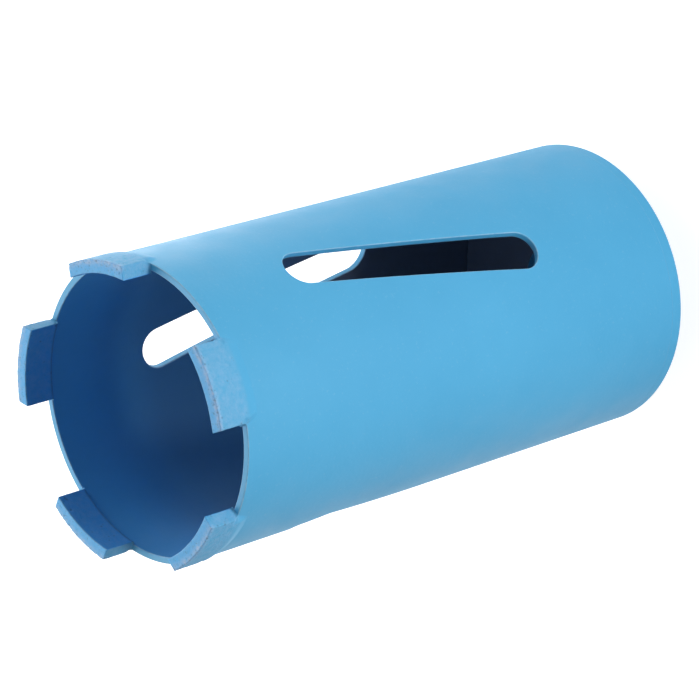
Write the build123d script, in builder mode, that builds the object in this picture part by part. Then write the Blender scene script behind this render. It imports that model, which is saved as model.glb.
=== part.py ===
from build123d import *
import math
import os

# A dry diamond core bit. It stands on its threaded hub with the cutting end up: the origin is the middle of
# the hub's rear face, +Z runs along the axis towards the cutting end, and lengths are in millimetres.

# Barrel
barrel_diameter = 76.5
barrel_wall = 1.8
barrel_length = 148.0

# Dust slots in the barrel
slot_count = 3
slot_length = 77.2  # over its rounded ends
slot_width = 10.3
slot_lean = 10.0  # degrees from the barrel's axis
slot_from_rim = 68.0  # from the rim down to the slot's middle
first_slot_angle = -90.0  # degrees round the axis

# Diamond segments on the rim
segment_count = 5
segment_length = 20.6
segment_height = 8.4  # above the rim
outer_relief = 0.75  # how far a segment stands proud of the barrel's outside
inner_relief = 0.85  # and how far it reaches inside the barrel's bore
segment_edge_chamfer = 0.35  # worn edge round the cutting face
first_segment_angle = 31.1  # degrees round the axis
shifted_segment = 4  # counted from one
segment_shift = -3.1  # degrees that this one sits off its even place

# Braze at the foot of each segment
braze_toe = 0.6  # fillet at each end of the foot
braze_ramp = 3.6  # taper down the outside of the barrel
braze_feather = 0.08  # what is left of the taper at its end

# End plate, turned with a spigot that centres the barrel
flange_thickness = 4.0
flange_edge_chamfer = 0.7
spigot_depth = 2.0
spigot_clearance = 0.1  # radial, inside the barrel
spigot_chamfer = 0.5
seam_chamfer = 0.35  # on both sides of the joint between the plate and the barrel

# Hub, welded into the middle of the end plate, with a half-inch pipe thread
hub_diameter = 32.0
hub_height = 12.0  # behind the end plate
hub_spigot_diameter = 26.0
hub_clearance = 0.05  # radial, inside the end plate
hub_chamfer = 0.8
hub_weld_leg = 1.8
flats_width = 27.0  # across the spanner flats
flats_height = 8.0
thread_minor_diameter = 18.63
thread_major_diameter = 20.96
thread_mouth_relief = 0.1  # radial, past the thread's crests
thread_exit_chamfer = 0.6

# Radii and heights that follow
barrel_radius = barrel_diameter / 2
bore_radius = barrel_radius - barrel_wall
cutting_radius = barrel_radius + outer_relief
segment_inner_radius = bore_radius - inner_relief
spigot_radius = bore_radius - spigot_clearance
hub_radius = hub_diameter / 2
hub_spigot_radius = hub_spigot_diameter / 2
plate_bore_radius = hub_spigot_radius + hub_clearance
thread_radius = thread_minor_diameter / 2
thread_mouth_radius = thread_major_diameter / 2 + thread_mouth_relief

plate_rear = hub_height
barrel_rear = plate_rear + flange_thickness
plate_front = barrel_rear + spigot_depth
rim = barrel_rear + barrel_length
tip = rim + segment_height
slot_middle = rim - slot_from_rim


def facing_out(angle, height):
    """A plane on the axis that faces outwards at this angle, with its Y up the axis."""
    turn = math.radians(angle)
    return Plane(
        origin=(0, 0, height),
        x_dir=(-math.sin(turn), math.cos(turn), 0),
        z_dir=(math.cos(turn), math.sin(turn), 0),
    )


def even_angles(first, count):
    """Angles evenly spaced round the axis, in degrees."""
    return [first + turn * 360 / count for turn in range(count)]


os.makedirs("parts", exist_ok=True)

# Barrel: a rolled tube with three leaning slots cut through its wall
with BuildPart() as barrel:
    with BuildSketch(Plane.XY.offset(barrel_rear)):
        Circle(barrel_radius)
        Circle(bore_radius, mode=Mode.SUBTRACT)
    extrude(amount=barrel_length)
    rear_edges = barrel.edges().filter_by(GeomType.CIRCLE).group_by(Axis.Z)[0]
    chamfer(rear_edges.sort_by(SortBy.RADIUS)[-1], seam_chamfer)
    for slot_angle in even_angles(first_slot_angle, slot_count):
        with BuildSketch(facing_out(slot_angle, slot_middle)):
            SlotOverall(slot_length, slot_width, rotation=90 - slot_lean)
        extrude(amount=barrel_radius + barrel_wall, mode=Mode.SUBTRACT)

barrel.part.label = "barrel"
export_step(barrel.part, "parts/barrel.step")

# Diamond segments: curved to the rim, proud of the wall inside and out, each on its own braze
half_length = segment_length / 2
foot_half_length = half_length + braze_toe
toe_arc_radius = -2 * braze_toe  # negative, so that the fillet is hollow
segment_angles = even_angles(first_segment_angle, segment_count)
segment_angles[shifted_segment - 1] += segment_shift

for number, segment_angle in enumerate(segment_angles, start=1):
    with BuildPart() as segment:
        with BuildSketch(Plane.XZ) as section:
            with BuildLine():
                Polyline(
                    (segment_inner_radius, rim),
                    (segment_inner_radius, tip),
                    (cutting_radius, tip),
                    (cutting_radius, rim),
                    (barrel_radius + braze_feather, rim - braze_ramp),
                    (barrel_radius, rim - braze_ramp),
                    (barrel_radius, rim),
                    close=True,
                )
            make_face()
            chamfer(section.vertices().group_by(Axis.Y)[-1], segment_edge_chamfer)
        revolve(axis=Axis.Z)
        with BuildSketch(facing_out(segment_angle, rim)):
            with BuildLine():
                RadiusArc((-foot_half_length, 0), (-half_length, braze_toe), toe_arc_radius)
                Polyline(
                    (-half_length, braze_toe),
                    (-half_length, segment_height),
                    (half_length, segment_height),
                    (half_length, braze_toe),
                )
                RadiusArc((half_length, braze_toe), (foot_half_length, 0), toe_arc_radius)
                Polyline(
                    (foot_half_length, 0),
                    (half_length - braze_toe, -braze_ramp),
                    (braze_toe - half_length, -braze_ramp),
                    (-foot_half_length, 0),
                )
            make_face()
        extrude(amount=2 * cutting_radius, mode=Mode.INTERSECT)

    segment.part.label = f"diamond_segment_{number}"
    export_step(segment.part, f"parts/diamond_segment_{number}.step")

# End plate: a flange that closes the barrel, with a spigot inside it
with BuildPart() as end_plate:
    with BuildSketch(Plane.XZ) as plate_section:
        with BuildLine():
            Polyline(
                (plate_bore_radius, plate_rear),
                (barrel_radius, plate_rear),
                (barrel_radius, barrel_rear - seam_chamfer),
                (barrel_radius - seam_chamfer, barrel_rear),
                (spigot_radius, barrel_rear),
                (spigot_radius, plate_front - spigot_chamfer),
                (spigot_radius - spigot_chamfer, plate_front),
                (plate_bore_radius, plate_front),
                close=True,
            )
        make_face()
        outer_rear_corner = plate_section.vertices().group_by(Axis.Y)[0].sort_by(Axis.X)[-1]
        chamfer(outer_rear_corner, flange_edge_chamfer)
    revolve(axis=Axis.Z)

end_plate.part.label = "end_plate"
export_step(end_plate.part, "parts/end_plate.step")

# Hub: turned, bored at the thread's minor diameter, with a weld round its shoulder and two spanner flats
with BuildPart() as threaded_hub:
    with BuildSketch(Plane.XZ):
        with BuildLine():
            Polyline(
                (thread_mouth_radius, 0),
                (hub_radius - hub_chamfer, 0),
                (hub_radius, hub_chamfer),
                (hub_radius, plate_rear - hub_weld_leg),
                (hub_radius + hub_weld_leg, plate_rear),
                (hub_spigot_radius, plate_rear),
                (hub_spigot_radius, plate_front),
                (thread_radius + thread_exit_chamfer, plate_front),
                (thread_radius, plate_front - thread_exit_chamfer),
                (thread_radius, thread_mouth_radius - thread_radius),
                close=True,
            )
        make_face()
    revolve(axis=Axis.Z)
    flat_cut = hub_radius - flats_width / 2
    with BuildSketch(Plane.XY):
        with Locations((hub_radius - flat_cut / 2, 0), (flat_cut / 2 - hub_radius, 0)):
            Rectangle(flat_cut, hub_diameter)
    extrude(amount=flats_height, mode=Mode.SUBTRACT)

threaded_hub.part.label = "threaded_hub"
export_step(threaded_hub.part, "parts/threaded_hub.step")
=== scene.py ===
"""The looks of a dry diamond core bit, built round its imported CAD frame.

The bit stands on its threaded hub with the cutting end up. Every piece is a closed mesh in the
frame's own metres, with its object at the origin, and every finish is procedural and reads
Object coordinates.
"""

import logging
import math
from dataclasses import dataclass, field
from enum import Enum
from typing import Sequence

import bmesh
import bpy
from mathutils import Matrix, Vector, noise
from mathutils.geometry import delaunay_2d_cdt


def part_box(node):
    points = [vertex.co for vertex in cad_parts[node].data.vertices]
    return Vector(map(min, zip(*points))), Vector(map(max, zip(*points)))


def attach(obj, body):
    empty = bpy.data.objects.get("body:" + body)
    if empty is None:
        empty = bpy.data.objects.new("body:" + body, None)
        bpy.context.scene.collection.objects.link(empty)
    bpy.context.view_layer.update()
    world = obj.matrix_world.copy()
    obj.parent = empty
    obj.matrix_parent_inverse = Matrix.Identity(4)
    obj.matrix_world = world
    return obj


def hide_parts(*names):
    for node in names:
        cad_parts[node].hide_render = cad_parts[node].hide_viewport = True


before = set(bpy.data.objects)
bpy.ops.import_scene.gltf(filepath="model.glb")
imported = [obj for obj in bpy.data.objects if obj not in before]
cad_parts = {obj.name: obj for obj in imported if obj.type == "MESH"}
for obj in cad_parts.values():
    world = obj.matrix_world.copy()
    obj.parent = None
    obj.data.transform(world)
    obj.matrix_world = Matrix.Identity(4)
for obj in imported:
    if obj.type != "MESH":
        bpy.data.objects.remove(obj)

log = logging.getLogger("core_bit")

Point = tuple[float, float, float]
Span = tuple[float, float]
Colour = tuple[float, float, float, float]
Mesh = bpy.types.Mesh
Piece = bpy.types.Object
Material = bpy.types.Material
Socket = bpy.types.NodeSocket
Outputs = bpy.types.NodeOutputs
MM = 0.001
TURN = 2 * math.pi
HUB_NODE = "threaded_hub"
PLATE_NODE = "end_plate"
BARREL_NODE = "barrel"
SEGMENT_NODES = sorted(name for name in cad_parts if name.startswith("diamond_segment_"))


class Slot(Enum):
    """The record's material slots."""

    BARREL = "barrel_enamel"
    SEGMENT = "segment_enamel"
    PLATE = "plate_enamel"
    HUB = "hub_enamel"


# ---------------- mesh helpers


def around(radius: float, turn: float, height: float) -> Point:
    """The point at this radius and turn (in radians) round the axis, at this height."""
    return (radius * math.cos(turn), radius * math.sin(turn), height)


def fade(value: float, start: float, end: float) -> float:
    """How far a value has come from start, which gives 1, to end, which gives 0, eased."""
    share = min(1.0, max(0.0, (end - value) / (end - start)))
    return share * share * (3 - 2 * share)


def even_turns(count: int, start: float = 0.0) -> list[float]:
    """Evenly spaced turns round the axis, in radians."""
    return [start + TURN * step / count for step in range(count)]


def shown(name: str, data: bpy.types.ID) -> Piece:
    """Adds an object with this data to the scene.

    Args:
        name: Its name.
        data: Its data.

    Returns:
        The object.
    """
    piece = bpy.data.objects.new(name, data)
    bpy.context.scene.collection.objects.link(piece)
    return piece


def smoothed(mesh: Mesh) -> None:
    """Has a mesh's faces shaded smooth."""
    mesh.polygons.foreach_set("use_smooth", [True] * len(mesh.polygons))


def grey(shade: float) -> Colour:
    """The grey of this shade."""
    return (shade, shade, shade, 1.0)


def keep_values(mesh: Mesh, name: str, values: Sequence[float]) -> None:
    """Keeps one value for each of a mesh's points, for its material to read."""
    mesh.attributes.new(name, "FLOAT", "POINT").data.foreach_set("value", values)


@dataclass(frozen=True)
class Corner:
    """A corner of a turned profile: its place, its rounding's reach and how rubbed its edge is."""

    radius: float
    height: float
    rounding: float = 0.0
    rubbed: float = 1.0


@dataclass(frozen=True)
class ProfilePoint:
    """A point of a turned profile, with its outward normal as a radial and an axial part."""

    radius: float
    height: float
    slope: Vector
    rubbed: float = 0.0


@dataclass
class Skin:
    """The points and faces of one closed surface as it grows.

    Faces are added so that their corners run anticlockwise when they are seen from outside.
    Each point keeps its normal and how far its edge is rubbed pale, from 0 to 1.
    """

    points: list[Point] = field(default_factory=list)
    normals: list[Vector] = field(default_factory=list)
    rubbed: list[float] = field(default_factory=list)
    faces: list[tuple[int, ...]] = field(default_factory=list)

    def add(self, point: Point, normal: Vector, rubbed: float = 0.0) -> int:
        """Adds a point and returns its number.

        Args:
            point: The point.
            normal: Its outward normal.
            rubbed: How far it is rubbed pale.

        Returns:
            The point's number.
        """
        self.points.append(point)
        self.normals.append(normal)
        self.rubbed.append(rubbed)
        return len(self.points) - 1

    def ring(self, spot: ProfilePoint, turns: Sequence[float]) -> list[int]:
        """Adds a ring of points round the axis, one at each turn, and returns their numbers.

        Args:
            spot: The ring's place in its profile.
            turns: The turn of each point, in radians.

        Returns:
            The numbers of the points.
        """
        return [
            self.add(
                around(spot.radius, turn, spot.height),
                Vector(around(spot.slope.x, turn, spot.slope.y)),
                spot.rubbed,
            )
            for turn in turns
        ]

    def bridge(self, first: Sequence[int], second: Sequence[int]) -> None:
        """Joins two closed rings of equal length; the second lies to the left of the first.

        Args:
            first: The first ring's points.
            second: The second ring's points.
        """
        count = len(first)
        for here in range(count):
            after = (here + 1) % count
            self.faces.append((first[here], first[after], second[after], second[here]))

    def chain(self, rings: Sequence[Sequence[int]], closed: bool = False) -> None:
        """Bridges each ring to the next, and the last to the first if the chain is closed.

        Args:
            rings: The rings in order.
            closed: Whether the chain is closed.
        """
        followers = [*rings[1:], rings[0]] if closed else rings[1:]
        for first, second in zip(rings, followers):
            self.bridge(first, second)

    def piece(self, name: str) -> Piece:
        """Makes the surface a smooth-shaded mesh object at the origin and returns it.

        Args:
            name: The object's name.

        Returns:
            The object.
        """
        mesh = bpy.data.meshes.new(name)
        mesh.from_pydata(self.points, [], self.faces)
        smoothed(mesh)
        keep_values(mesh, "edge", self.rubbed)
        mesh.normals_split_custom_set_from_vertices(self.normals)
        mesh.update()
        return shown(name, mesh)


def rounded_profile(corners: Sequence[Corner], closed: bool = True) -> list[ProfilePoint]:
    """Rounds the corners of a turned profile that runs anticlockwise, with the radius to the right.

    Args:
        corners: The corners, with the solid to the left of the way from one to the next.
        closed: Whether the profile runs back to its first corner.

    Returns:
        The profile's points.
    """
    steps, straight = 4, 0.01
    found: list[ProfilePoint] = []
    spots = [Vector((corner.radius, corner.height)) for corner in corners]
    for index, corner in enumerate(corners):
        here = spots[index]
        into = (here - spots[index - 1]).normalized()
        out = (spots[(index + 1) % len(spots)] - here).normalized()
        if not closed and index == 0:
            into = out
        if not closed and index == len(corners) - 1:
            out = into
        before, after = Vector((into.y, -into.x)), Vector((out.y, -out.x))
        if corner.rounding == 0.0 and before.angle(after) < straight:
            found.append(ProfilePoint(here.x, here.y, before))
            continue
        start, end = here - into * corner.rounding, here + out * corner.rounding
        for step in range(steps + 1):
            share = step / steps
            left = 1 - share
            spot = start * left**2 + here * (2 * share * left) + end * share**2
            slope = (before * left + after * share).normalized()
            rubbed = 4 * share * left * corner.rubbed
            found.append(ProfilePoint(spot.x, spot.y, slope, rubbed))
    return found


def hand_over(piece: Piece, material: Material, nodes: Sequence[str]) -> None:
    """Dresses a finished piece and hands it to the frame.

    Args:
        piece: The finished mesh object.
        material: Its material.
        nodes: The CAD nodes that it stands for.
    """
    piece.data.materials.clear()
    piece.data.materials.append(material)
    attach(piece, "root")
    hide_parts(*nodes)
    log.info("%s: %d faces", piece.name, len(piece.data.polygons))


def settled_mesh(piece: Piece) -> None:
    """Turns a piece's live modifiers into plain mesh and removes them.

    Args:
        piece: The piece.
    """
    graph = bpy.context.evaluated_depsgraph_get()
    graph.update()
    mesh = bpy.data.meshes.new_from_object(piece.evaluated_get(graph))
    piece.modifiers.clear()
    piece.data = mesh


# ---------------- node trees


@dataclass
class Tree:
    """A node tree, with short ways to add to it."""

    tree: bpy.types.NodeTree

    def put(self, socket: Socket, value: object) -> None:
        """Links a socket to an output, or sets it to a plain value.

        Args:
            socket: The input.
            value: The output or the value.
        """
        if isinstance(value, Socket):
            self.tree.links.new(value, socket)
        else:
            socket.default_value = value

    def node(self, kind: str, inputs: dict[object, object], **settings: object) -> bpy.types.Node:
        """Adds a node.

        Args:
            kind: The node's type.
            inputs: What its inputs are set or linked to, by name or number.
            settings: Its own settings.

        Returns:
            The node.
        """
        node = self.tree.nodes.new(kind)
        for name, value in settings.items():
            setattr(node, name, value)
        for name, value in inputs.items():
            self.put(node.inputs[name], value)
        return node

    def sum(self, operation: str, first: object, second: object = 0.0) -> Socket:
        """Works out one sum of two values."""
        return self.node("ShaderNodeMath", {0: first, 1: second}, operation=operation).outputs[0]

    def add(self, first: object, second: object) -> Socket:
        """The two values' sum."""
        return self.sum("ADD", first, second)

    def less(self, first: object, second: object) -> Socket:
        """The first value without the second."""
        return self.sum("SUBTRACT", first, second)

    def times(self, first: object, second: object) -> Socket:
        """The two values' product."""
        return self.sum("MULTIPLY", first, second)

    def span(
        self, value: object, low: float, high: float, to_low: float = 0.0, to_high: float = 1.0
    ) -> Socket:
        """Maps a value from one span to another, clamped."""
        spans = {"From Min": low, "From Max": high, "To Min": to_low, "To Max": to_high}
        return self.node("ShaderNodeMapRange", {"Value": value, **spans}).outputs["Result"]

    def mix(self, share: object, first: object, second: object) -> Socket:
        """Mixes two colours."""
        inputs = {"Factor": share, "A": first, "B": second}
        return self.node("ShaderNodeMix", inputs, data_type="RGBA").outputs["Result"]


@dataclass(frozen=True)
class Pattern:
    """A noise pattern, and the least and the most it gives as its noise goes from low to high."""

    scale: float
    detail: float = 3.0
    low: float = 0.3
    high: float = 0.7
    least: float = 0.0
    most: float = 1.0
    roughness: float = 0.55


@dataclass
class Shader(Tree):
    """A material's node tree, with short ways to add what the finishes need."""

    tree: bpy.types.NodeTree = field(init=False)
    name: str

    def __post_init__(self) -> None:
        """Starts the material with its surface, and finds its Object coordinates."""
        self.material = bpy.data.materials.new(self.name)
        self.material.use_nodes = True
        self.tree = self.material.node_tree
        self.surface = self.tree.nodes["Principled BSDF"]
        self.coordinates = self.node("ShaderNodeTexCoord", {}).outputs["Object"]

    def look(self, **inputs: object) -> None:
        """Sets or links inputs of the surface, with the spaces in their names as underscores."""
        for name, value in inputs.items():
            self.put(self.surface.inputs[name.replace("_", " ")], value)

    def noise(self, scale: float, detail: float, roughness: float = 0.55) -> Socket:
        """Noise on Object coordinates: its value, about 0.5 on average.

        Args:
            scale: Its scale.
            detail: Its octaves.
            roughness: How much each octave counts.

        Returns:
            The noise.
        """
        sizes = {"Scale": scale, "Detail": detail, "Roughness": roughness}
        return self.node(
            "ShaderNodeTexNoise", {"Vector": self.coordinates, **sizes}
        ).outputs["Fac"]

    def pattern(self, given: Pattern) -> Socket:
        """A pattern's value at each place."""
        value = self.noise(given.scale, given.detail, given.roughness)
        return self.span(value, given.low, given.high, given.least, given.most)

    def attribute(self, name: str) -> Socket:
        """The value of one of the piece's own attributes."""
        return self.node("ShaderNodeAttribute", {}, attribute_name=name).outputs["Fac"]

    def bump(self, height: Socket, distance: float, strength: float) -> None:
        """Adds relief to the surface, on top of what it has.

        Args:
            height: The relief's height, from 0 to 1.
            distance: What a height of 1 stands for, in metres.
            strength: Its share that shows.
        """
        inputs = {"Height": height, "Distance": distance, "Strength": strength}
        node = self.node("ShaderNodeBump", inputs)
        if self.surface.inputs["Normal"].is_linked:
            self.put(node.inputs["Normal"], self.surface.inputs["Normal"].links[0].from_socket)
        self.look(Normal=node.outputs["Normal"])


# ---------------- finishes


@dataclass(frozen=True)
class Enamel:
    """Satin sky-blue enamel, sprayed on steel, with rubbed edges and painted shade in the bore."""

    name: str
    base: Colour = (0.055, 0.328, 0.572, 1.0)
    cloud: Colour = (0.064, 0.352, 0.604, 1.0)
    edge: Colour = (0.240, 0.450, 0.630, 1.0)
    # The next colour is a painted shade tint: a bluer copy of the enamel for the shaded faces
    # inside.
    inner: Colour = (0.062, 0.330, 0.700, 1.0)
    # The next colour is painted shade: a darker blue that darkens the enamel further down the bore.
    painted_bore_shade: Colour = (0.048, 0.190, 0.400, 1.0)
    deep: Colour = (0.175, 0.220, 0.300, 1.0)
    drift: Pattern = Pattern(24.0)
    specks: Pattern = Pattern(1300.0, 2.0, 0.62, 0.74, 0.0, 0.16)
    ragged: Pattern = Pattern(60.0, least=-0.12, most=0.12)
    scuffs: Pattern = Pattern(700.0, 4.0, 0.3, 0.6, 0.25, 1.0)
    gloss: Pattern = Pattern(120.0, 4.0, least=0.50, most=0.60)
    sheen: float = 0.4
    peel_scale: float = 950.0
    peel_depth: float = 0.00005
    ring_scale: float = 900.0
    ring_wobble: float = 1.5
    ring_depth: float = 0.0

    def paint(self, shader: Shader) -> Socket:
        """The enamel's colour: clouds, specks, painted shade inside and rubbed edges.

        Args:
            shader: The material's tree.

        Returns:
            The colour.
        """
        colour = shader.mix(shader.pattern(self.drift), self.base, self.cloud)
        colour = shader.mix(shader.pattern(self.specks), colour, self.edge)
        # Painted shade inside: a bluer tint on inner faces that turns darker further down the bore.
        inner = shader.mix(shader.attribute("painted_bore_shade"), self.inner, self.painted_bore_shade)
        # The inner mask lays this painted shade tint on the faces inside the bore.
        colour = shader.mix(shader.attribute("inner"), colour, inner)
        ragged = shader.add(shader.attribute("deep"), shader.pattern(self.ragged))
        spent = shader.times(shader.span(ragged, 0.1, 0.9), shader.attribute("inner"))
        colour = shader.mix(spent, colour, self.deep)
        rubbed = shader.times(shader.pattern(self.scuffs), shader.attribute("edge"))
        return shader.mix(rubbed, colour, self.edge)

    def peel(self, shader: Shader) -> None:
        """Gives the surface the sheen and the fine orange peel of sprayed enamel."""
        shader.look(Specular_IOR_Level=self.sheen)
        shader.bump(shader.noise(self.peel_scale, 2.0), self.peel_depth, 0.6)

    def material(self) -> Material:
        """Builds the enamel.

        Returns:
            The material.
        """
        shader = Shader(self.name)
        shader.look(Base_Color=self.paint(shader), Roughness=shader.pattern(self.gloss))
        self.peel(shader)
        if self.ring_depth:
            sizes = {"Scale": self.ring_scale, "Distortion": self.ring_wobble}
            rings = shader.node(
                "ShaderNodeTexWave",
                {"Vector": shader.coordinates, **sizes},
                wave_type="RINGS",
                rings_direction="Z",
            )
            shader.bump(rings.outputs["Fac"], self.ring_depth, 0.5)
        return shader.material


@dataclass(frozen=True)
class SinteredEnamel(Enamel):
    """Enamel over sintered metal: grainy, rubbed pale, dark in pits, with painted shade at the
    root.
    """

    # The next colour is a painted shade tint: a bluer copy of the enamel for the segments' inner
    # faces.
    inner: Colour = (0.046, 0.320, 0.770, 1.0)
    front: Colour = (0.050, 0.375, 0.740, 1.0)
    pale: Colour = (0.300, 0.455, 0.670, 1.0)
    # The next colour darkens the pits and also paints shade along the root of the inner faces.
    pit_and_root_shade: Colour = (0.040, 0.115, 0.200, 1.0)
    mottle: Pattern = Pattern(620.0, 5.0, 0.36, 0.72, 0.08, 0.42, 0.7)
    streaks: Pattern = Pattern(1100.0, 4.0, 0.36, 0.62, 0.25, 1.0, 0.7)
    dots: Pattern = Pattern(2300.0, 3.0, 0.58, 0.70, 0.0, 0.55, 0.6)
    coarse: Pattern = Pattern(900.0, least=0.04, most=0.22)
    roughness: float = 0.55
    grain_scale: float = 1900.0
    grain_depth: float = 0.00014

    def material(self) -> Material:
        """Builds the worn finish.

        Returns:
            The material.
        """
        shader = Shader(self.name)
        grain = shader.attribute("grain")
        colour = shader.mix(shader.attribute("front"), self.paint(shader), self.front)
        colour = shader.mix(shader.times(shader.pattern(self.mottle), grain), colour, self.pale)
        streaks = shader.times(shader.pattern(self.streaks), shader.attribute("pale"))
        colour = shader.mix(streaks, colour, self.pale)
        dots = shader.times(shader.pattern(self.dots), shader.attribute("dotted"))
        # The pitted share darkens real pits and also paints shade along the root of the inner
        # faces.
        dark = shader.sum("MAXIMUM", dots, shader.attribute("pits_and_root_shade"))
        rough = shader.times(shader.pattern(self.coarse), grain)
        shader.look(
            Base_Color=shader.mix(dark, colour, self.pit_and_root_shade),
            Roughness=shader.add(rough, self.roughness),
        )
        self.peel(shader)
        relief = shader.times(shader.noise(self.grain_scale, 4.0, 0.65), grain)
        shader.bump(relief, self.grain_depth, 0.7)
        return shader.material


@dataclass(frozen=True)
class CutSteel:
    """Bare machined steel with a film of oil."""

    name: str
    base: Colour = (0.36, 0.36, 0.37, 1.0)
    dull: Colour = (0.22, 0.22, 0.235, 1.0)
    film: Pattern = Pattern(160.0, 4.0, 0.35, 0.7)
    gloss: Span = (0.26, 0.42)
    grain_scale: float = 2600.0
    grain_depth: float = 0.00002

    def material(self) -> Material:
        """Builds the steel.

        Returns:
            The material.
        """
        shader = Shader(self.name)
        stain = shader.pattern(self.film)
        shader.look(
            Base_Color=shader.mix(stain, self.base, self.dull),
            Metallic=1.0,
            Roughness=shader.span(stain, 0.0, 1.0, *self.gloss),
        )
        shader.bump(shader.noise(self.grain_scale, 2.0), self.grain_depth, 0.5)
        return shader.material


# ---------------- barrel


@dataclass
class Barrel:
    """The rolled tube, with leaning slots cut square through its wall and eased edges.

    Up the bore, painted shade darkens the enamel and fades out over one span of heights, and the
    spray grows from nothing to a full coat over another.
    """

    wall: float = 1.8 * MM
    slot_count: int = 3
    slot_length: float = 77.2 * MM
    slot_width: float = 10.3 * MM
    slot_lean: float = math.radians(10.0)
    slot_from_rim: float = 68.0 * MM
    first_slot: float = math.radians(-90.0)
    edge: float = 0.3 * MM
    edge_steps: int = 4
    edge_share: float = 0.98
    seam_edge: float = 0.08 * MM
    seam_rubbed: float = 0.6
    inside: Span = (0.02 * MM, 0.4 * MM)
    # coat: the heights of the painted shade down the bore, full at the first and gone at the
    # second.
    coat: Span = (128.0 * MM, 156.0 * MM)
    spray: Span = (40.0 * MM, 122.0 * MM)
    columns: int = 216
    row_step: float = 3.0 * MM
    row_gap: float = 1.2 * MM
    side_steps: int = 26
    end_steps: int = 18

    def __post_init__(self) -> None:
        """Reads the barrel's place and radius from the frame."""
        low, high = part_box(BARREL_NODE)
        self.radius = high.x
        self.bore = self.radius - self.wall
        self.rear, self.rim = low.z, high.z
        self.slot_middle = self.rim - self.slot_from_rim
        self.half_run = (self.slot_length - self.slot_width) / 2
        self.seam = self.first_slot + math.pi / self.slot_count
        self.turns = even_turns(self.columns, self.seam)

    def slot_turns(self) -> list[float]:
        """The turn of each slot's middle, from the seam on."""
        return even_turns(self.slot_count, self.first_slot + TURN / self.slot_count)

    def outline(self, offset: float) -> list[tuple[Vector, Vector]]:
        """The slot's outline in its own flat plane, with across as X and up as Y.

        Args:
            offset: How far outside the cut the outline runs.

        Returns:
            Each point, anticlockwise, with the direction from it into the slot.
        """
        half_width = self.slot_width / 2 + offset
        along = Vector((math.sin(self.slot_lean), math.cos(self.slot_lean)))
        across = Vector((math.cos(self.slot_lean), -math.sin(self.slot_lean)))
        found = []
        for side in (1, -1):
            for step in range(self.side_steps):
                share = 2 * step / self.side_steps - 1
                spot = across * side * half_width + along * side * self.half_run * share
                found.append((spot, -side * across))
            for step in range(self.end_steps):
                bend = math.pi * step / self.end_steps
                out = across * side * math.cos(bend) + along * side * math.sin(bend)
                found.append((along * side * self.half_run + out * half_width, -out))
        return found

    def face(self, side: int) -> float:
        """The radius of the wall's face: the outside for side 1, the bore for side -1."""
        return self.radius if side > 0 else self.bore

    def slot_ring(self, skin: Skin, turn: float, side: int, tip: float) -> list[int]:
        """Adds one ring of points along a slot's eased edge.

        Args:
            skin: The barrel's skin.
            turn: The turn of the slot's middle.
            side: 1 for the edge outside and -1 for the one in the bore.
            tip: How far the normal has tipped from the wall's face into the slot, in radians.

        Returns:
            The numbers of the points.
        """
        radius = self.face(side) - side * self.edge * (1 - math.cos(tip))
        sideways = Vector(around(1.0, turn + math.pi / 2, 0.0))
        found = []
        for spot, into in self.outline(self.edge * (1 - math.sin(tip))):
            place = turn + math.asin(spot.x / radius)
            outward = Vector(around(1.0, place, 0.0)) * side * math.cos(tip)
            inward = (sideways * into.x + Vector((0, 0, into.y))) * math.sin(tip)
            point = around(radius, place, self.slot_middle + spot.y)
            found.append(skin.add(point, (outward + inward).normalized(), math.sin(2 * tip)))
        return found

    def cut_slot(self, skin: Skin, turn: float) -> tuple[list[int], list[int]]:
        """Adds a slot's eased edges and its flanks.

        Args:
            skin: The barrel's skin.
            turn: The turn of the slot's middle.

        Returns:
            The rings where the slot meets the outside and the bore.
        """
        tips = [math.pi / 2 * step / self.edge_steps for step in range(self.edge_steps + 1)]
        rings = [self.slot_ring(skin, turn, 1, tip) for tip in tips]
        rings += [self.slot_ring(skin, turn, -1, tip) for tip in reversed(tips)]
        skin.chain(rings)
        return rings[0], rings[-1]

    def sheet(
        self, skin: Skin, side: int, low: list[int], high: list[int], slots: list[list[int]]
    ) -> None:
        """Fills one face of the wall, from ring to ring and round its slots.

        Args:
            skin: The barrel's skin.
            side: 1 for the outside and -1 for the bore.
            low: The ring of points along its lower edge.
            high: The ring along its upper edge.
            slots: The ring round each slot.
        """
        radius = self.face(side)
        numbers: list[int] = []
        spots: list[Vector] = []
        edges: list[tuple[int, int]] = []

        def lay(number: int, turn: float) -> int:
            """Lays a point out flat, at its turn, and returns its place in the list.

            Args:
                number: The point's number.
                turn: Its turn.

            Returns:
                Its place.
            """
            numbers.append(number)
            spots.append(Vector((radius * turn, skin.points[number][2])))
            return len(spots) - 1

        full = [*self.turns, self.seam + TURN]
        for ring in (low, high):
            row = [lay(ring[step % self.columns], turn) for step, turn in enumerate(full)]
            edges += zip(row, row[1:])
        for ring, middle in zip(slots, self.slot_turns()):
            row = []
            for number in ring:
                x, y, _ = skin.points[number]
                turn = math.atan2(y, x)
                row.append(lay(number, turn + TURN * round((middle - turn) / TURN)))
            edges += zip(row, row[1:] + row[:1])
        bottom, top = skin.points[low[0]][2], skin.points[high[0]][2]
        rows = round((top - bottom) / self.row_step)
        for row in range(1, rows):
            height = bottom + (top - bottom) * row / rows
            wall = ProfilePoint(radius, height, Vector((side, 0.0)))
            clear = [
                turn
                for turn in self.turns
                if not self.near_slot(radius, turn, height, self.row_gap)
            ]
            ring = skin.ring(wall, clear)
            for number, turn in zip([*ring, ring[0]], [*clear, full[-1]]):
                lay(number, turn)
        whole, tolerance = 0, 1e-9
        flat, _, faces, sources, _, _ = delaunay_2d_cdt(spots, edges, [], whole, tolerance)
        for face in faces:
            middle = sum((flat[corner] for corner in face), Vector((0.0, 0.0))) / len(face)
            if self.near_slot(radius, middle.x / radius, middle.y, 0.0):
                continue
            corners = [numbers[sources[corner][0]] for corner in face]
            skin.faces.append(tuple(corners[::side]))

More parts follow.
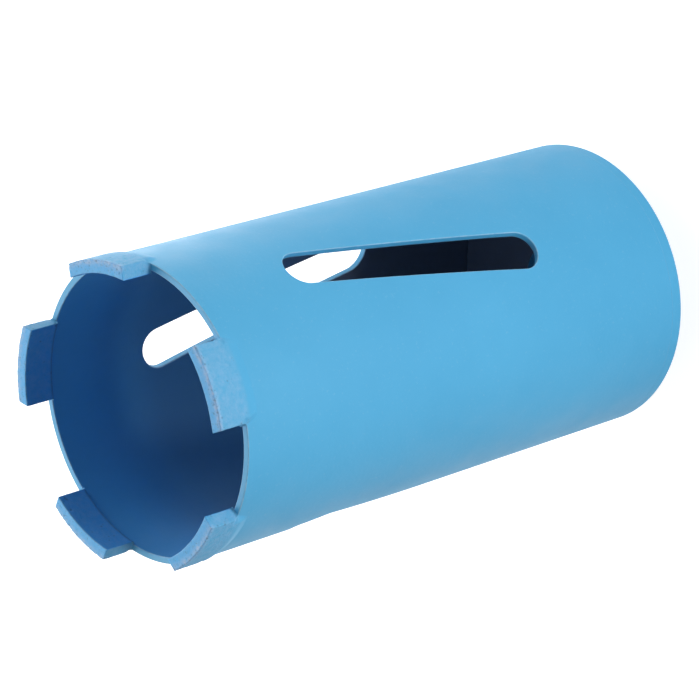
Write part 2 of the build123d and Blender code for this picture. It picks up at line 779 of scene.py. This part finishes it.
    def near_slot(self, radius: float, turn: float, height: float, margin: float) -> bool:
        """Whether a place on the wall lies in a slot, or within a margin of its eased edge.

        Args:
            radius: The place's radius.
            turn: Its turn.
            height: Its height.
            margin: The margin.

        Returns:
            Whether it does.
        """
        rise = height - self.slot_middle
        reach = self.slot_width / 2 + self.edge * self.edge_share + margin
        for middle in self.slot_turns():
            sweep = turn - middle
            if abs(sweep) > math.pi / 2:
                continue
            across = radius * math.sin(sweep)
            run = across * math.sin(self.slot_lean) + rise * math.cos(self.slot_lean)
            side = across * math.cos(self.slot_lean) - rise * math.sin(self.slot_lean)
            if math.hypot(max(abs(run) - self.half_run, 0.0), side) < reach:
                return True
        return False

    def shade_inside(self, mesh: Mesh) -> None:
        """Keeps which points lie in the bore, its painted shade, and where the spray fell short
        there.

        Args:
            mesh: The mesh.
        """
        spots = [vertex.co.copy() for vertex in mesh.vertices]
        inner = [fade(math.hypot(spot.x, spot.y) - self.bore, *self.inside) for spot in spots]
        keep_values(mesh, "inner", inner)
        # The first value is the painted shade down the bore; deep marks where the spray fell short.
        for name, span in (("painted_bore_shade", self.coat), ("deep", self.spray)):
            short = [within * fade(spot.z, *span) for within, spot in zip(inner, spots)]
            keep_values(mesh, name, short)

    def build(self, finish: Material) -> None:
        """Builds and dresses the barrel.

        Args:
            finish: Its material.
        """
        skin = Skin()
        below, above = self.rim - 2 * self.edge, self.rear + 2 * self.seam_edge
        top = [
            Corner(self.radius, below),
            Corner(self.radius, self.rim, self.edge),
            Corner(self.bore, self.rim, self.edge),
            Corner(self.bore, below),
        ]
        bottom = [
            Corner(self.bore, above),
            Corner(self.bore, self.rear, self.edge / 2),
            Corner(self.radius, self.rear, self.seam_edge, self.seam_rubbed),
            Corner(self.radius, above),
        ]
        over, under = (
            [skin.ring(spot, self.turns) for spot in rounded_profile(corners, closed=False)]
            for corners in (top, bottom)
        )
        skin.chain(over)
        skin.chain(under)
        slots = [self.cut_slot(skin, turn) for turn in self.slot_turns()]
        self.sheet(skin, 1, under[-1], over[0], [slot[0] for slot in slots])
        self.sheet(skin, -1, under[0], over[-1], [slot[1] for slot in slots])
        barrel = skin.piece("barrel_tube")
        self.shade_inside(barrel.data)
        hand_over(barrel, finish, [BARREL_NODE])


# ---------------- segments


@dataclass(frozen=True)
class Pits:
    """One size of pit, scattered in cells, and the shares of the cells that hold one.

    The first share counts everywhere, and the rest on the front, near the edge and by the braze.
    """

    spacing: float
    depth: float
    shares: tuple[float, float, float, float]
    shift: float = 7.0
    luck_scale: float = 3.7
    least_reach: float = 0.22
    more_reach: float = 0.2

    def sunk(self, spot: Vector, seed: int, counts: Sequence[float]) -> float:
        """How deep a pit is here.

        Args:
            spot: The place.
            seed: The segment's own number.
            counts: How far each share counts here, from 0 to 1.

        Returns:
            The depth from 0 to 1, and 0 outside a pit.
        """
        share = sum(share * count for share, count in zip(self.shares, counts))
        gaps, cores = noise.voronoi(spot / self.spacing + Vector((seed * self.shift, 0.0, 0.0)))
        luck = noise.cell(cores[0] * self.luck_scale) * 0.5 + 0.5
        if luck > share:
            return 0.0
        reach = self.least_reach + self.more_reach * luck / share
        return max(0.0, 1 - (gaps[0] / reach) ** 2)


@dataclass(frozen=True)
class Wear:
    """How a segment is worn, and its painted root shade: the spans over which each fades, and
    sizes.
    """

    grain: Span = (-1.2 * MM, 1.8 * MM)
    front: Span = (0.1 * MM, 0.4 * MM)
    edge: Span = (0.25 * MM, 1.5 * MM)
    inside: Span = (0.1 * MM, 0.3 * MM)
    braze: Span = (0.2 * MM, 0.7 * MM)
    braze_level: float = -0.4 * MM
    outer_half: Span = (0.5 * MM, 2.2 * MM)
    inner_line: Span = (0.1 * MM, 0.3 * MM)
    # root: the rise above the rim over which a painted shade line on the inner face fades out.
    root: Span = (0.1 * MM, 1.0 * MM)
    chip: Span = (0.0, 0.4 * MM)
    chip_size: float = 1.1 * MM
    chip_depth: float = 0.16 * MM
    streak_size: float = 1.3 * MM
    streak_squeeze: float = 2.5
    lump_size: float = 1.2 * MM
    lump_height: float = 0.04 * MM
    lump_level: float = 0.015 * MM
    coarse: Pits = Pits(1.1 * MM, 0.11 * MM, (0.05, 0.10, 0.34, 0.0))
    small: Pits = Pits(0.62 * MM, 0.07 * MM, (0.06, 0.16, 0.38, 0.3))


@dataclass
class Segment:
    """One diamond segment, sintered, brazed on the rim and sprayed over."""

    node: str
    seed: int
    length: float = 20.6 * MM
    inner_relief: float = 0.85 * MM
    toe: float = 0.6 * MM
    bore_span: Span = (-0.1 * MM, 0.4 * MM)
    ramp: float = 4.4 * MM
    ramp_steps: int = 12
    ramp_sink: float = 0.05 * MM
    shoulder: float = 0.4 * MM
    root_depth: float = 0.9 * MM
    foot: float = 0.3 * MM
    feather_rise: float = 1.4 * MM
    feather_width: float = 1.8 * MM
    feather_sink: float = 0.03 * MM
    spacing: float = 0.3 * MM
    columns: int = 40
    grain: float = 0.16 * MM
    smoothings: int = 3
    wear: Wear = Wear()

    def place(self, barrel: Barrel) -> None:
        """Works out where the segment sits from its CAD node and the barrel.

        Args:
            barrel: The barrel.
        """
        low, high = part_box(self.node)
        centre = math.atan2(low.y + high.y, low.x + high.x)
        corners = [vertex.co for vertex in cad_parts[self.node].data.vertices]
        sweeps = [math.remainder(math.atan2(spot.y, spot.x) - centre, TURN) for spot in corners]
        self.turn = centre + (min(sweeps) + max(sweeps)) / 2
        self.outer = max(math.hypot(corner.x, corner.y) for corner in corners)
        self.bore = barrel.bore
        self.inner = barrel.bore - self.inner_relief
        self.rim = barrel.rim
        self.tip = high.z
        self.barrel_radius = barrel.radius

    def section(self) -> list[Vector]:
        """The segment's section, as radius and height, anticlockwise.

        Returns:
            The section's corners.
        """
        hidden = self.barrel_radius - self.root_depth
        start = self.rim - self.ramp
        sunk = self.barrel_radius - self.ramp_sink
        spots = [
            (self.inner, self.rim),
            (hidden, self.rim),
            (hidden, start - self.root_depth),
            (sunk - self.foot, start - self.root_depth),
        ]
        for step in range(self.ramp_steps + 1):
            share = step / self.ramp_steps
            radius = self.outer + (sunk - self.outer) * fade(share, 0.0, 1.0)
            spots.append((radius, start + (self.ramp - self.shoulder) * step / self.ramp_steps))
        return [Vector(spot) for spot in (*spots, (self.outer, self.tip), (self.inner, self.tip))]

    def half_width(self, radius: float, height: float) -> float:
        """Half of the segment's length at a place in its section.

        It is wider at the braze toe, which only stands on the rim, and narrower down the ramp.

        Args:
            radius: The place's radius.
            height: Its height.

        Returns:
            The half width.
        """
        half = self.length / 2
        rise = height - self.rim
        if rise < 0:
            return half + self.toe - 2 * self.toe * min(1.0, -rise / self.ramp)
        over_bore = fade(radius - self.bore, *self.bore_span)
        return half + self.toe * max(0.0, 1 - rise / self.toe) ** 2 * (1 - over_bore)

    def braze(self, work: bmesh.types.BMesh) -> None:
        """Draws the foot into its braze: hollow toes on the rim, and sides that fade away.

        Args:
            work: The segment's surface.
        """
        half = self.length / 2
        for vertex in work.verts:
            radius = math.hypot(vertex.co.x, vertex.co.y)
            sweep = math.remainder(math.atan2(vertex.co.y, vertex.co.x) - self.turn, TURN)
            width = self.half_width(radius, vertex.co.z)
            across = radius * math.sin(sweep) * width / half
            feather = fade(vertex.co.z - self.rim, 0.0, self.feather_rise)
            feather *= fade(width - abs(across), 0.0, self.feather_width)
            proud = radius - self.barrel_radius
            if proud > 0:
                radius -= feather * (proud + self.feather_sink)
            vertex.co = around(radius, self.turn + math.asin(across / radius), vertex.co.z)

    def stock(self) -> Piece:
        """The segment as a plain closed solid, bent to the barrel.

        Returns:
            The solid.
        """
        section = self.section()
        fine: list[Vector] = []
        for spot, after in zip(section, section[1:] + section[:1]):
            steps = max(1, round((after - spot).length / self.spacing))
            fine += [spot.lerp(after, step / steps) for step in range(steps)]
        work = bmesh.new()
        rings = []
        for column in range(self.columns + 1):
            across = (2 * column / self.columns - 1) * self.length / 2
            places = [(spot.x, self.turn + math.asin(across / spot.x), spot.y) for spot in fine]
            rings.append([work.verts.new(around(*place)) for place in places])
        for near, far in zip(rings, rings[1:]):
            for corners in zip(near, far, far[1:] + far[:1], near[1:] + near[:1]):
                work.faces.new(corners)
        ends = [work.faces.new(rings[0]), work.faces.new(reversed(rings[-1]))]
        bmesh.ops.triangulate(work, faces=ends)
        bmesh.ops.recalc_face_normals(work, faces=work.faces)
        mesh = bpy.data.meshes.new(self.node)
        work.to_mesh(mesh)
        work.free()
        return shown(self.node + "_sintered", mesh)

    def worn(self, spot: Vector) -> tuple[float, dict[str, float]]:
        """How far the surface is worn down at a place, and what the finish shows there.

        Args:
            spot: The place.

        Returns:
            The depth, and each of the finish's values by name.
        """
        wear = self.wear
        radius = math.hypot(spot.x, spot.y)
        from_front, from_outer = self.tip - spot.z, self.outer - radius
        rise = spot.z - self.rim
        from_edge = max(from_front, from_outer)
        grain = fade(-rise, *wear.grain)
        front = fade(from_front, *wear.front)
        edge = fade(from_edge, *wear.edge)
        inside = fade(radius - self.inner, *wear.inside)
        braze = fade(abs(rise - wear.braze_level), *wear.braze) * (1 - inside)
        drawn = Vector((spot.x, spot.y, spot.z * wear.streak_squeeze))
        streak = noise.noise(drawn / wear.streak_size) * 0.5 + 0.5
        counts = (1.0, front, edge, braze)
        coarse = wear.coarse.sunk(spot, self.seed, counts)
        small = wear.small.sunk(spot, self.seed, counts)
        lump = noise.fractal(spot / wear.lump_size, 0.8, 2.0, 3) * wear.lump_height
        chip = max(0.0, noise.noise(spot / wear.chip_size) + 0.1) * wear.chip_depth
        depth = wear.coarse.depth * coarse + wear.small.depth * small
        depth += fade(from_edge, *wear.chip) * chip - min(0.0, lump - wear.lump_level)
        pale = edge * streak + 0.1 * front * streak
        pale += front * fade(from_outer, *wear.outer_half) * (0.25 + 0.5 * streak)
        pale += 0.5 * fade(max(from_front, radius - self.inner), *wear.inner_line)
        # Painted shade: a dark line on the inner face just above the rim, under the step over the
        # bore.
        root = inside * fade(rise, *wear.root)
        return depth * grain, {
            "grain": grain * (1 - 0.5 * inside) * (1 - 0.4 * front),
            "front": front,
            "pale": min(1.0, pale),
            "dotted": grain * min(1.0, 0.10 + 0.45 * front + 0.25 * edge),
            # The pitted value carries the real pits and the painted shade line at the root.
            "pits_and_root_shade": min(0.8, (0.55 * coarse + 0.6 * small) * grain + 0.5 * root),
            "inner": inside,
        }

    def weather(self, piece: Piece) -> None:
        """Eases the edges, sinks the pits and chips, and keeps what the finish shows.

        Args:
            piece: The segment.
        """
        work = bmesh.new()
        work.from_mesh(piece.data)
        self.braze(work)
        axes = {"use_axis_x": True, "use_axis_y": True, "use_axis_z": True}
        for _ in range(self.smoothings):
            bmesh.ops.smooth_vert(work, verts=work.verts, factor=0.5, **axes)
        work.normal_update()
        found = [self.worn(vertex.co) for vertex in work.verts]
        for vertex, (depth, _) in zip(work.verts, found):
            vertex.co -= vertex.normal * depth
        work.to_mesh(piece.data)
        work.free()
        for name in found[0][1]:
            keep_values(piece.data, name, [values[name] for _, values in found])
        smoothed(piece.data)

    def build(self, barrel: Barrel, finish: Material) -> None:
        """Builds and dresses the segment.

        Args:
            barrel: The barrel.
            finish: Its material.
        """
        self.place(barrel)
        piece = self.stock()
        remesh = piece.modifiers.new("grain", "REMESH")
        remesh.mode = "VOXEL"
        remesh.voxel_size = self.grain
        settled_mesh(piece)
        self.weather(piece)
        hand_over(piece, finish, [self.node])


# ---------------- wound rings


@dataclass
class WoundTree(Tree):
    """A Geometry Nodes tree that wraps a flat grid round the axis into a closed ring of metal."""

    tree: bpy.types.NodeTree = field(init=False)
    name: str
    columns: int
    rows: int
    values: dict[str, float]
    join_reach: float = 0.02 * MM

    def surface(self, turn: Socket, row: Socket, given: Outputs) -> tuple[Socket, Socket]:
        """Works out the surface; each kind of ring has its own.

        Args:
            turn: The share of a full turn round the axis, from 0 to 1.
            row: The number of the grid's row.
            given: The tree's named inputs.

        Returns:
            The radius and the height.
        """
        raise NotImplementedError

    def wrapped(self, given: Outputs) -> Socket:
        """The flat grid, wrapped round the axis with its edges joined.

        Args:
            given: The tree's named inputs.

        Returns:
            The closed ring.
        """
        sizes = {"Size X": 1.0, "Size Y": 1.0}
        counts = {"Vertices X": self.columns + 1, "Vertices Y": self.rows + 1}
        grid = self.node("GeometryNodeMeshGrid", {**sizes, **counts}).outputs["Mesh"]
        spot = self.node("GeometryNodeInputPosition", {}).outputs[0]
        place = self.node("ShaderNodeSeparateXYZ", {0: spot}).outputs
        turn = self.add(place["X"], 0.5)
        row = self.sum("ROUND", self.times(self.add(place["Y"], 0.5), float(self.rows)))
        radius, height = self.surface(turn, row, given)
        angle = self.times(turn, TURN)
        x = self.times(radius, self.sum("COSINE", angle))
        y = self.times(radius, self.sum("SINE", angle))
        spot = self.node("ShaderNodeCombineXYZ", {"X": x, "Y": y, "Z": height}).outputs[0]
        wound = self.node("GeometryNodeSetPosition", {"Geometry": grid, "Position": spot})
        joined = {"Geometry": wound.outputs[0], "Distance": self.join_reach}
        return self.node("GeometryNodeMergeByDistance", joined).outputs[0]

    def piece(self, material: Material) -> Piece:
        """Builds the tree, runs it once with its values and returns the plain mesh it makes.

        Args:
            material: The ring's material.

        Returns:
            The ring.
        """
        self.tree = bpy.data.node_groups.new(self.name, "GeometryNodeTree")
        sides = self.tree.interface
        for name in self.values:
            sides.new_socket(name, in_out="INPUT", socket_type="NodeSocketFloat")
        sides.new_socket("Geometry", in_out="OUTPUT", socket_type="NodeSocketGeometry")
        closed = self.wrapped(self.node("NodeGroupInput", {}).outputs)
        whole = self.node("GeometryNodeRealizeInstances", {"Geometry": closed}).outputs[0]
        coat = {"Geometry": whole, "Material": material}
        coated = self.node("GeometryNodeSetMaterial", coat).outputs[0]
        self.node("NodeGroupOutput", {"Geometry": coated})
        piece = shown(self.name, bpy.data.meshes.new(self.name))
        live = piece.modifiers.new(self.name, "NODES")
        live.node_group = self.tree
        for item in sides.items_tree:
            if item.item_type == "SOCKET" and item.in_out == "INPUT":
                live[item.identifier] = self.values[item.name]
        settled_mesh(piece)
        work = bmesh.new()
        work.from_mesh(piece.data)
        bmesh.ops.recalc_face_normals(work, faces=work.faces)
        work.to_mesh(piece.data)
        work.free()
        smoothed(piece.data)
        return piece


@dataclass
class ThreadTree(WoundTree):
    """A sleeve with a right-hand thread cut in its bore; its inputs name the thread's sizes."""

    flank: Span = (0.09, 0.41)

    def surface(self, turn: Socket, row: Socket, given: Outputs) -> tuple[Socket, Socket]:
        """Runs up the threaded bore, back down outside, and in again along the rear face.

        Args:
            turn: The share of a full turn.
            row: The grid's row.
            given: The named inputs.

        Returns:
            The radius and the height.
        """
        top = (self.rows - 2) / 2
        closing = self.sum("GREATER_THAN", row, self.rows - 0.5)
        lining = self.sum("MAXIMUM", self.sum("LESS_THAN", row, top + 0.5), closing)
        climbed = self.less(top + 0.5, self.sum("ABSOLUTE", self.less(row, top + 0.5)))
        height = self.times(self.span(climbed, 0.0, top), given["Height"])
        wound = self.less(self.sum("DIVIDE", height, given["Pitch"]), turn)
        wave = self.sum("ABSOLUTE", self.less(self.sum("FRACT", wound), 0.5))
        cut = self.times(self.less(given["Major"], given["Minor"]), self.span(wave, *self.flank))
        from_end = self.sum("MINIMUM", height, self.less(given["Height"], height))
        flare = self.sum("MAXIMUM", self.less(given["Relief"], from_end), 0.0)
        bore = self.add(given["Minor"], self.sum("MAXIMUM", cut, flare))
        outside = self.times(given["Outer"], self.less(1.0, lining))
        return self.add(self.times(bore, lining), outside), height


@dataclass
class WeldTree(WoundTree):
    """A fillet weld round the axis, laid in overlapping ripples; its inputs name its sizes."""

    bow: float = 0.35
    sharpness: float = 1.6
    waves: int = 7
    share: float = 0.84
    ripple_share: float = 0.12
    wave_share: float = 0.035

    def surface(self, turn: Socket, row: Socket, given: Outputs) -> tuple[Socket, Socket]:
        """Runs once round the bead's section, whose size swells with each ripple.

        Args:
            turn: The share of a full turn.
            row: The grid's row.
            given: The named inputs.

        Returns:
            The radius and the height.
        """
        section = self.times(row, TURN / self.rows)
        bow = self.times(self.sum("COSINE", section), self.bow)
        phase = self.sum("FRACT", self.add(self.times(turn, given["Ripples"]), bow))
        ripple = self.times(self.sum("POWER", phase, self.sharpness), math.pi)
        ripple = self.times(self.sum("SINE", ripple), self.ripple_share)
        slow = self.sum("SINE", self.times(turn, TURN * self.waves))
        slow = self.times(slow, self.wave_share)
        size = self.times(self.add(self.add(self.share, ripple), slow), given["Size"])
        radius = self.add(given["Radius"], self.times(size, self.sum("COSINE", section)))
        height = self.add(given["Level"], self.times(size, self.sum("SINE", section)))
        return radius, height


# ---------------- rear end


@dataclass
class EndPlate:
    """The turned plate that closes the barrel, with its spigot inside."""

    bore: float = 13.05 * MM
    spigot_gap: float = 0.1 * MM
    spigot_chamfer: float = 0.5 * MM
    edge: float = 0.7 * MM
    ease: float = 0.15 * MM
    columns: int = 216

    def build(self, barrel: Barrel, finish: Material) -> None:
        """Builds and dresses the end plate.

        Args:
            barrel: The barrel.
            finish: Its material.
        """
        low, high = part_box(PLATE_NODE)
        spigot = barrel.bore - self.spigot_gap
        skin, turns = Skin(), even_turns(self.columns)
        corners = [
            Corner(self.bore, low.z, self.ease),
            Corner(barrel.radius - self.edge, low.z, self.ease),
            Corner(barrel.radius, low.z + self.edge, self.ease * 2),
            Corner(barrel.radius, barrel.rear, barrel.seam_edge, barrel.seam_rubbed),
            Corner(spigot, barrel.rear, self.ease / 3, 0.0),
            Corner(spigot, high.z - self.spigot_chamfer, self.ease),
            Corner(spigot - self.spigot_chamfer, high.z, self.ease),
            Corner(self.bore, high.z, self.ease),
        ]
        skin.chain([skin.ring(spot, turns) for spot in rounded_profile(corners)], closed=True)
        plate = skin.piece("end_plate_disc")
        inside = [fade(vertex.co.z, high.z, barrel.rear) for vertex in plate.data.vertices]
        keep_values(plate.data, "inner", inside)
        keep_values(plate.data, "deep", inside)
        hand_over(plate, finish, [PLATE_NODE])


@dataclass
class Hub:
    """The hub behind the plate: a tapped boss with two spanner flats, welded round its root."""

    radius: float = 16.0 * MM
    spigot: float = 13.0 * MM
    flats: float = 13.5 * MM
    flats_height: float = 8.0 * MM
    chamfer: float = 0.8 * MM
    ease: float = 0.15 * MM
    minor: float = 9.315 * MM
    major: float = 10.48 * MM
    pitch: float = 25.4 / 14 * MM
    relief: float = 1.2 * MM
    sleeve: float = 11.0 * MM
    sleeve_lap: float = 0.1 * MM
    thread_grid: tuple[int, int] = (120, 442)
    weld_size: float = 1.8 * 0.86 * MM
    weld_offset: float = 0.25 * MM
    weld_ripples: float = 64.0
    weld_grid: tuple[int, int] = (1024, 28)
    columns: int = 192

    def body(self, plate_rear: float, plate_front: float) -> Piece:
        """The boss, from its rear face to its seat in the plate, bored clear of the sleeve.

        Args:
            plate_rear: The height of the plate's rear face.
            plate_front: The height of its front.

        Returns:
            The boss.
        """
        skin, turns = Skin(), even_turns(self.columns)
        corners = [
            Corner(self.sleeve, 0.0, self.ease),
            Corner(self.radius - self.chamfer, 0.0, self.ease),
            Corner(self.radius, self.chamfer, self.ease),
            Corner(self.radius, self.flats_height, 0.0),
            Corner(self.radius, plate_rear, self.ease),
            Corner(self.spigot, plate_rear, self.ease),
            Corner(self.spigot, plate_front, self.ease),
            Corner(self.sleeve, plate_front, self.ease),
        ]
        rings = []
        for spot in rounded_profile(corners):
            if spot.height > self.flats_height or spot.radius < self.sleeve + 2 * self.ease:
                rings.append(skin.ring(spot, turns))
                continue
            rings.append(self.flatted_ring(skin, spot, turns))
            if spot.height == self.flats_height:
                shelf = ProfilePoint(spot.radius, spot.height, Vector((0.0, -1.0)))
                rings.append(self.flatted_ring(skin, shelf, turns))
                rings += [skin.ring(place, turns) for place in (shelf, spot)]
        skin.chain(rings, closed=True)
        return skin.piece("hub_boss")

    def flatted_ring(self, skin: Skin, spot: ProfilePoint, turns: Sequence[float]) -> list[int]:
        """Adds a ring that the two spanner flats cut short.

        Args:
            skin: The boss's skin.
            spot: The ring's place in the profile.
            turns: The turn of each point, in radians.

        Returns:
            The numbers of the points.
        """
        least, shelf_slope = 1e-6, -0.5
        found = []
        for turn in turns:
            reach = self.flats / max(abs(math.cos(turn)), least)
            if spot.radius > reach and spot.slope.y > shelf_slope:
                normal = Vector((math.copysign(1.0, math.cos(turn)), 0.0, 0.0))
            else:
                normal = Vector(around(spot.slope.x, turn, spot.slope.y))
            place = around(min(spot.radius, reach), turn, spot.height)
            found.append(skin.add(place, normal, spot.rubbed))
        return found

    def build(self, enamel: Material, steel: Material) -> None:
        """Builds and dresses the boss, its weld and its thread.

        Args:
            enamel: The paint.
            steel: The thread's bare metal.
        """
        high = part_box(HUB_NODE)[1]
        plate_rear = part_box(PLATE_NODE)[0].z
        bead = {
            "Radius": self.radius + self.weld_offset,
            "Level": plate_rear - self.weld_offset,
            "Size": self.weld_size,
            "Ripples": self.weld_ripples,
        }
        sleeve = {
            "Outer": self.sleeve + self.sleeve_lap,
            "Minor": self.minor,
            "Major": self.major,
            "Pitch": self.pitch,
            "Height": high.z,
            "Relief": self.relief,
        }
        weld = WeldTree("hub_weld", *self.weld_grid, bead)
        thread = ThreadTree("hub_thread", *self.thread_grid, sleeve)
        hand_over(self.body(plate_rear, high.z), enamel, [HUB_NODE])
        hand_over(weld.piece(enamel), enamel, [HUB_NODE])
        hand_over(thread.piece(steel), steel, [HUB_NODE])


# ---------------- studio


def set_down(piece: Piece, place: Vector, side: Vector, up: Vector, way: Vector) -> None:
    """Puts a lamp or a camera at a place, so that it looks this way with this side to its right.

    Args:
        piece: The lamp or the camera.
        place: Where it goes.
        side: The way to its right.
        up: The way to its top.
        way: The way that it looks.
    """
    turned = Matrix((side, up, -way)).transposed().to_4x4()
    turned.translation = place
    piece.matrix_world = turned


@dataclass(frozen=True)
class Lamp:
    """One soft lamp, placed by its turn and distance from the axis and its height."""

    name: str
    turn: float
    away: float
    height: float
    width: float
    tall: float
    power: float
    aim_height: float = 0.096

    def hang(self) -> None:
        """Hangs the lamp so that it shines at its height on the axis."""
        light = bpy.data.lights.new(self.name, "AREA")
        light.shape = "RECTANGLE"
        light.size = self.width
        light.size_y = self.tall
        light.energy = self.power
        place = Vector(around(self.away, math.radians(self.turn), self.height))
        way = (Vector((0, 0, self.aim_height)) - place).normalized()
        side = way.cross(Vector((0, 0, 1))).normalized()
        set_down(shown(self.name, light), place, side, side.cross(way), way)


@dataclass
class Studio:
    """The white studio: a pale floor, a dim even surround, low soft lamps and the camera."""

    aim: Point = (0.0, 0.0, 0.0960)
    camera_place: Point = (-0.28921, -0.56247, 0.63270)
    camera_up: Point = (0.76882, -0.60172, -0.21644)
    lens: float = 167.60
    sensor: float = 36.0
    nearest: float = 0.01
    surround: float = 0.18
    floor_reach: float = 6.0
    floor_level: float = -0.00005
    floor_grey: float = 0.62
    floor_glow: float = 0.86
    lamps: tuple[Lamp, ...] = (
        Lamp("near_side", 240.0, 0.7, 0.03, 0.70, 0.10, 4.70),
        Lamp("lower_side", 208.0, 0.6, 0.03, 0.50, 0.10, 0.75),
        Lamp("upper_side", 340.0, 0.5, 0.056, 0.60, 0.10, 0.66),
        Lamp("upper_floor", 350.0, 0.22, 0.004, 0.20, 0.24, 0.19, 1.0),
        Lamp("far_floor", 20.0, 0.22, 0.004, 0.20, 0.24, 0.38, 1.0),
        Lamp("front_upper", 350.0, 0.6, 0.60, 0.50, 0.50, 1.70),
        Lamp("front_far", 50.0, 0.6, 0.60, 0.50, 0.50, 4.50),
        Lamp("front_lower", 113.0, 0.6, 0.60, 0.50, 0.50, 0.70),
    )

    def camera(self) -> None:
        """Places the camera, rolled as it looks along the leaning axis."""
        seen = bpy.data.cameras.new("camera")
        seen.lens = self.lens
        seen.sensor_width = self.sensor
        seen.clip_start = self.nearest
        camera = shown("camera", seen)
        place = Vector(self.camera_place)
        forward = (Vector(self.aim) - place).normalized()
        up = Vector(self.camera_up)
        up = (up - forward * up.dot(forward)).normalized()
        set_down(camera, place, forward.cross(up), up, forward)
        bpy.context.scene.camera = camera

    def plain_ray(self, tree: Tree) -> Socket:
        """Adds nodes that give 1 to rays that show the background as it is, and 0 to the rest.

        Args:
            tree: The tree to add to.

        Returns:
            The share.
        """
        path = tree.node("ShaderNodeLightPath", {}).outputs
        found = path["Is Camera Ray"]
        for name in ("Is Glossy Ray", "Is Transmission Ray"):
            found = tree.sum("MAXIMUM", found, path[name])
        return found

    def world(self) -> None:
        """Lights the studio dimly from all round, and shows plain white behind."""
        world = bpy.data.worlds.new("surround")
        bpy.context.scene.world = world
        world.use_nodes = True
        tree = Tree(world.node_tree)
        colour = tree.mix(self.plain_ray(tree), grey(self.surround), grey(1.0))
        tree.put(tree.tree.nodes["Background"].inputs["Color"], colour)

    def floor(self) -> None:
        """Lays the pale floor that the bit stands on."""
        mesh = bpy.data.meshes.new("floor")
        reach, level = self.floor_reach, self.floor_level
        signs = ((-1, -1), (1, -1), (1, 1), (-1, 1))
        mesh.from_pydata([(x * reach, y * reach, level) for x, y in signs], [], [(0, 1, 2, 3)])
        floor = shown("floor", mesh)
        material = bpy.data.materials.new("floor")
        material.use_nodes = True
        tree = Tree(material.node_tree)
        nodes = tree.tree.nodes
        nodes.remove(nodes["Principled BSDF"])
        diffuse = tree.node("ShaderNodeBsdfDiffuse", {"Color": grey(self.floor_grey)})
        lit = tree.times(self.plain_ray(tree), self.floor_glow)
        glow = tree.node("ShaderNodeEmission", {"Strength": lit})
        both = tree.node("ShaderNodeAddShader", {0: diffuse.outputs[0], 1: glow.outputs[0]})
        tree.put(nodes["Material Output"].inputs["Surface"], both.outputs[0])
        mesh.materials.append(material)

    def build(self) -> None:
        """Sets the studio up."""
        self.camera()
        self.world()
        self.floor()
        for lamp in self.lamps:
            lamp.hang()
        bpy.context.scene.view_settings.view_transform = "Standard"


def main() -> None:
    """Builds the pieces in order, then the studio, and notes how many faces each piece has."""
    logging.basicConfig(level=logging.INFO, format="%(message)s")
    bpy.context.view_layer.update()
    enamel = Enamel("sky_enamel").material()
    sintered = SinteredEnamel("sintered_enamel").material()
    steel = CutSteel("tapped_steel").material()
    barrel = Barrel()
    barrel.build(enamel)
    for seed, node in enumerate(SEGMENT_NODES, start=1):
        Segment(node, seed).build(barrel, sintered)
    EndPlate().build(barrel, Enamel("turned_enamel", ring_depth=0.00003).material())
    Hub().build(enamel, steel)
    Studio().build()


if __name__ == "__main__":
    main()
